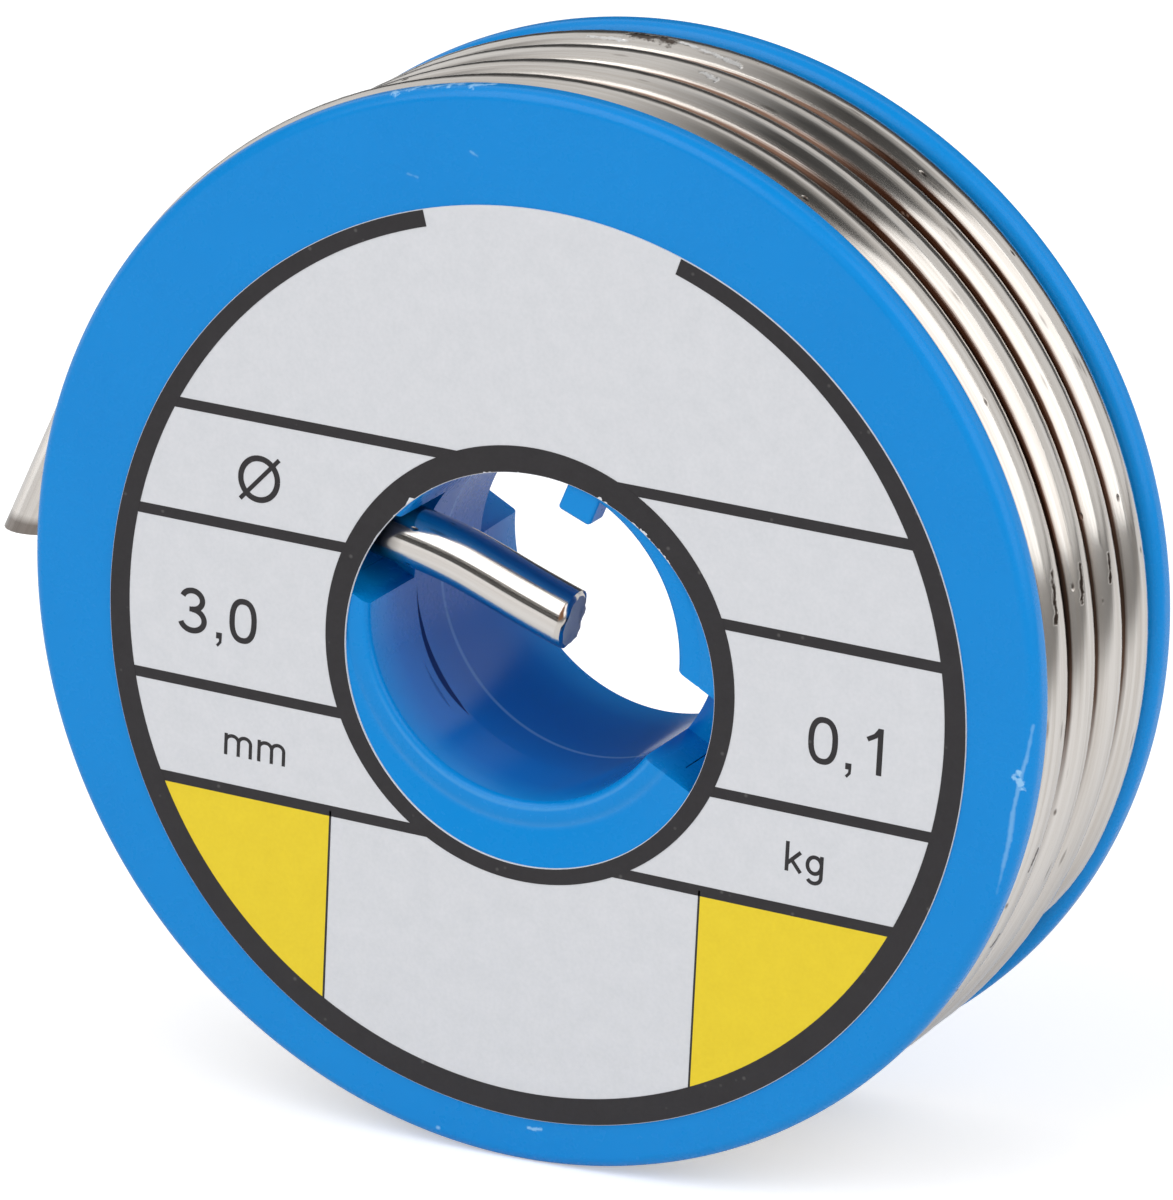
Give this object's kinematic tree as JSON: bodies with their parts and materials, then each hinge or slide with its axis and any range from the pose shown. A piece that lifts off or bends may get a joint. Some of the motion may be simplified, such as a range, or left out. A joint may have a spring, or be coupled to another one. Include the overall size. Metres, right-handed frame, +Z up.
{
  "type": "solder wire spool",
  "caption": "Small two-part plastic spool, full of thick bright solder wire, with a ring label on its front, a slotted hub and an open bore.",
  "frame": {"origin": "on the bore's axis, halfway across the spool's width", "axes": "+Y along the bore from the labelled front to the rear, +Z up as the spool stands on its rims, +X to the right as seen from the front"},
  "size_m": [0.0531, 0.0156, 0.05],
  "materials": {
    "spool_plastic": "moulded, semi-gloss",
    "label_paper": "printed paper, slight sheen",
    "solder_wire": "bright drawn tin"
  },
  "bodies": {
    "root": {"front_half": "spool_plastic", "rear_half": "spool_plastic", "label": "label_paper", "wire_inner_layers": "solder_wire", "wire_outer_layer": "solder_wire", "wire_tail": "solder_wire", "wire_start": "solder_wire"}
  },
  "joints": []
}
